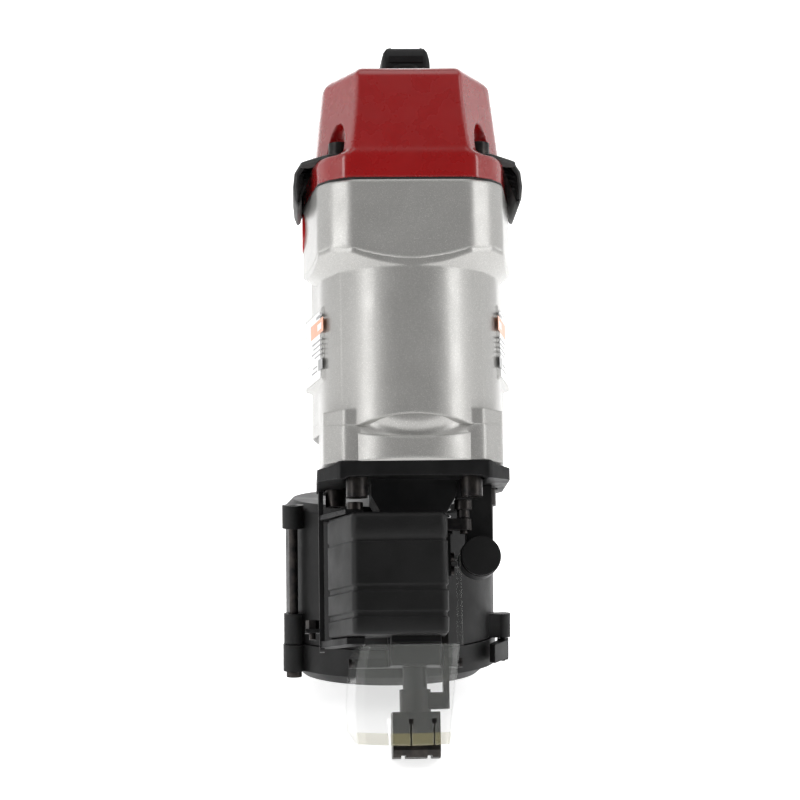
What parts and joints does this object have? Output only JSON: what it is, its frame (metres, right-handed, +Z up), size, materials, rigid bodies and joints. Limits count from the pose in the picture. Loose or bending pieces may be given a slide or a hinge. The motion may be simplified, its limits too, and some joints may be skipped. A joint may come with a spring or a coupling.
{
  "type": "pneumatic coil nailer",
  "caption": "Large air-powered coil nailer with silver body, red cap, round coil magazine, ribbed nose cover and clear debris shield.",
  "frame": {"origin": "centre of the bounding box on the surface that the tool rests on", "axes": "+Z up, -Y towards the tool's front, +X to the operator's left; the driver axis leans back 22.5 degrees from +Z"},
  "size_m": [0.152, 0.444, 0.4273],
  "materials": {
    "silver_paint": "die-cast alloy under satin silver lacquer with fine sparkle",
    "red_paint": "die-cast alloy under gloss red paint",
    "gasket_rubber": "matt",
    "black_plastic": "moulded, fine grain",
    "black_paint": "satin, cast texture",
    "black_oxide": "black oxide, oiled",
    "bright_steel": "ground",
    "plain_aluminium": "turned",
    "valve_brass": "turned",
    "clear_shield": "clear, slightly wavy",
    "label_white": "printed film",
    "badge_red": "printed film"
  },
  "bodies": {
    "frame": {"air_filter": "valve_brass", "air_plug": "bright_steel", "bracket_bolts": "black_oxide", "bracket_screw": "black_oxide", "cap_gasket": "gasket_rubber", "cap_screws": "black_oxide", "contact_spring": "bright_steel", "cylinder_cap": "red_paint", "cylinder_sleeve": "plain_aluminium", "debris_shield": "clear_shield", "deflector_screw": "black_oxide", "door_pin": "black_oxide", "drive_bumper": "gasket_rubber", "end_cap": "black_paint", "end_cap_screws": "black_oxide", "feed_cap": "black_plastic", "feed_cylinder": "black_paint", "feed_piston_spring": "bright_steel", "grip_sleeve": "gasket_rubber", "head_valve_spring": "bright_steel", "hinge_bracket": "black_paint", "latch_pin": "black_oxide", "magazine_body": "black_plastic", "magazine_bracket": "black_paint", "magazine_pin": "black_oxide", "main_housing": "silver_paint", "nose_body": "black_paint", "nose_bolts": "black_oxide", "piston_stop": "gasket_rubber", "platform_shaft": "bright_steel", "shield_screws": "black_oxide", "side_badge": "badge_red", "side_bumper_left": "gasket_rubber", "side_bumper_right": "gasket_rubber", "side_labels": "label_white", "sleeve_rings": "gasket_rubber", "trigger_pin": "bright_steel", "trigger_valve_housing": "valve_brass", "trigger_valve_spring": "bright_steel"},
    "deflector": {"exhaust_deflector": "black_plastic"},
    "piston": {"main_piston": "plain_aluminium", "piston_ring": "gasket_rubber", "driver_blade": "bright_steel"},
    "valve": {"head_valve": "black_plastic"},
    "trigger_body": {"trigger": "black_paint"},
    "lever": {"contact_lever": "bright_steel"},
    "stem": {"trigger_valve_stem": "valve_brass"},
    "contact": {"contact_foot": "black_oxide", "contact_arm": "black_paint", "arm_screws": "black_oxide"},
    "door": {"nose_door": "black_paint", "nose_cover": "black_plastic", "cover_screws": "black_oxide"},
    "latch": {"door_latch": "black_oxide"},
    "feeder": {"feed_piston": "bright_steel"},
    "pawl": {"feed_pawl": "bright_steel"},
    "cover": {"magazine_cover": "black_plastic", "rubber_feet": "gasket_rubber"},
    "cover_latch": {"magazine_latch": "black_plastic"},
    "platform": {"nail_platform": "black_plastic"}
  },
  "joints": [
    {"name": "deflector_turn", "type": "hinge", "parent": "frame", "child": "deflector", "pos_m": [0.005, -0.02727, 0.40074], "axis": [0, 0.3827, 0.9239], "continuous": true},
    {"name": "piston_stroke", "type": "slide", "parent": "frame", "child": "piston", "axis": [0, -0.3827, -0.9239], "range_m": [0, 0.118]},
    {"name": "head_valve_lift", "type": "slide", "parent": "frame", "child": "valve", "axis": [0, 0.3827, 0.9239], "range_m": [0, 0.006], "stiffness_N_per_m": 1500, "springref_m": -0.005, "deforming": ["head_valve_spring"]},
    {"name": "trigger_pull", "type": "hinge", "parent": "frame", "child": "trigger_body", "pos_m": [0.005, -0.03499, 0.19395], "axis": [1, 0, 0], "range_deg": [0, 12], "stiffness_Nm_per_rad": 0.6, "springref_deg": -8.59, "deforming": ["trigger_valve_spring"]},
    {"name": "lever_tilt", "type": "hinge", "parent": "trigger_body", "child": "lever", "pos_m": [0.005, -0.01572, 0.17515], "axis": [-1, 0, 0], "range_deg": [0, 20]},
    {"name": "valve_stem_lift", "type": "slide", "parent": "frame", "child": "stem", "axis": [0, 0.3827, 0.9239], "range_m": [0, 0.0024]},
    {"name": "contact_lift", "type": "slide", "parent": "frame", "child": "contact", "axis": [0, 0.3827, 0.9239], "range_m": [0, 0.012], "stiffness_N_per_m": 2000, "springref_m": -0.03, "deforming": ["contact_spring"]},
    {"name": "nose_door_swing", "type": "hinge", "parent": "frame", "child": "door", "pos_m": [-0.031, -0.17005, 0.11352], "axis": [0, -0.3827, -0.9239], "range_deg": [0, 100]},
    {"name": "door_latch_turn", "type": "hinge", "parent": "frame", "child": "latch", "pos_m": [0.0355, -0.15634, 0.14139], "axis": [0, 0.3827, 0.9239], "range_deg": [0, 75]},
    {"name": "feed_stroke", "type": "slide", "parent": "frame", "child": "feeder", "axis": [0, 0.9239, -0.3827], "range_m": [0, 0.008], "stiffness_N_per_m": 900, "springref_m": -0.006, "deforming": ["feed_piston_spring"]},
    {"name": "feed_pawl_tilt", "type": "hinge", "parent": "feeder", "child": "pawl", "pos_m": [0.046, -0.13035, 0.11006], "axis": [0, -0.3827, -0.9239], "range_deg": [0, 10], "stiffness_Nm_per_rad": 0.05, "springref_deg": -8.59},
    {"name": "magazine_cover_swing", "type": "hinge", "parent": "frame", "child": "cover", "pos_m": [-0.069, -0.08532, 0.03344], "axis": [0, 0.165, 0.9863], "range_deg": [0, 110]},
    {"name": "magazine_latch_turn", "type": "hinge", "parent": "frame", "child": "cover_latch", "pos_m": [0.0685, -0.06987, 0.03187], "axis": [0, 0.165, 0.9863], "range_deg": [0, 35]},
    {"name": "nail_platform_slide", "type": "slide", "parent": "frame", "child": "platform", "axis": [0, 0.165, 0.9863], "range_m": [0, 0.035]}
  ],
  "couplings": [
    {"joint": "lever_tilt", "follows": "contact_lift", "rad_per_m": 29},
    {"joint": "valve_stem_lift", "follows": "trigger_pull", "m_per_rad": 0.0114}
  ]
}
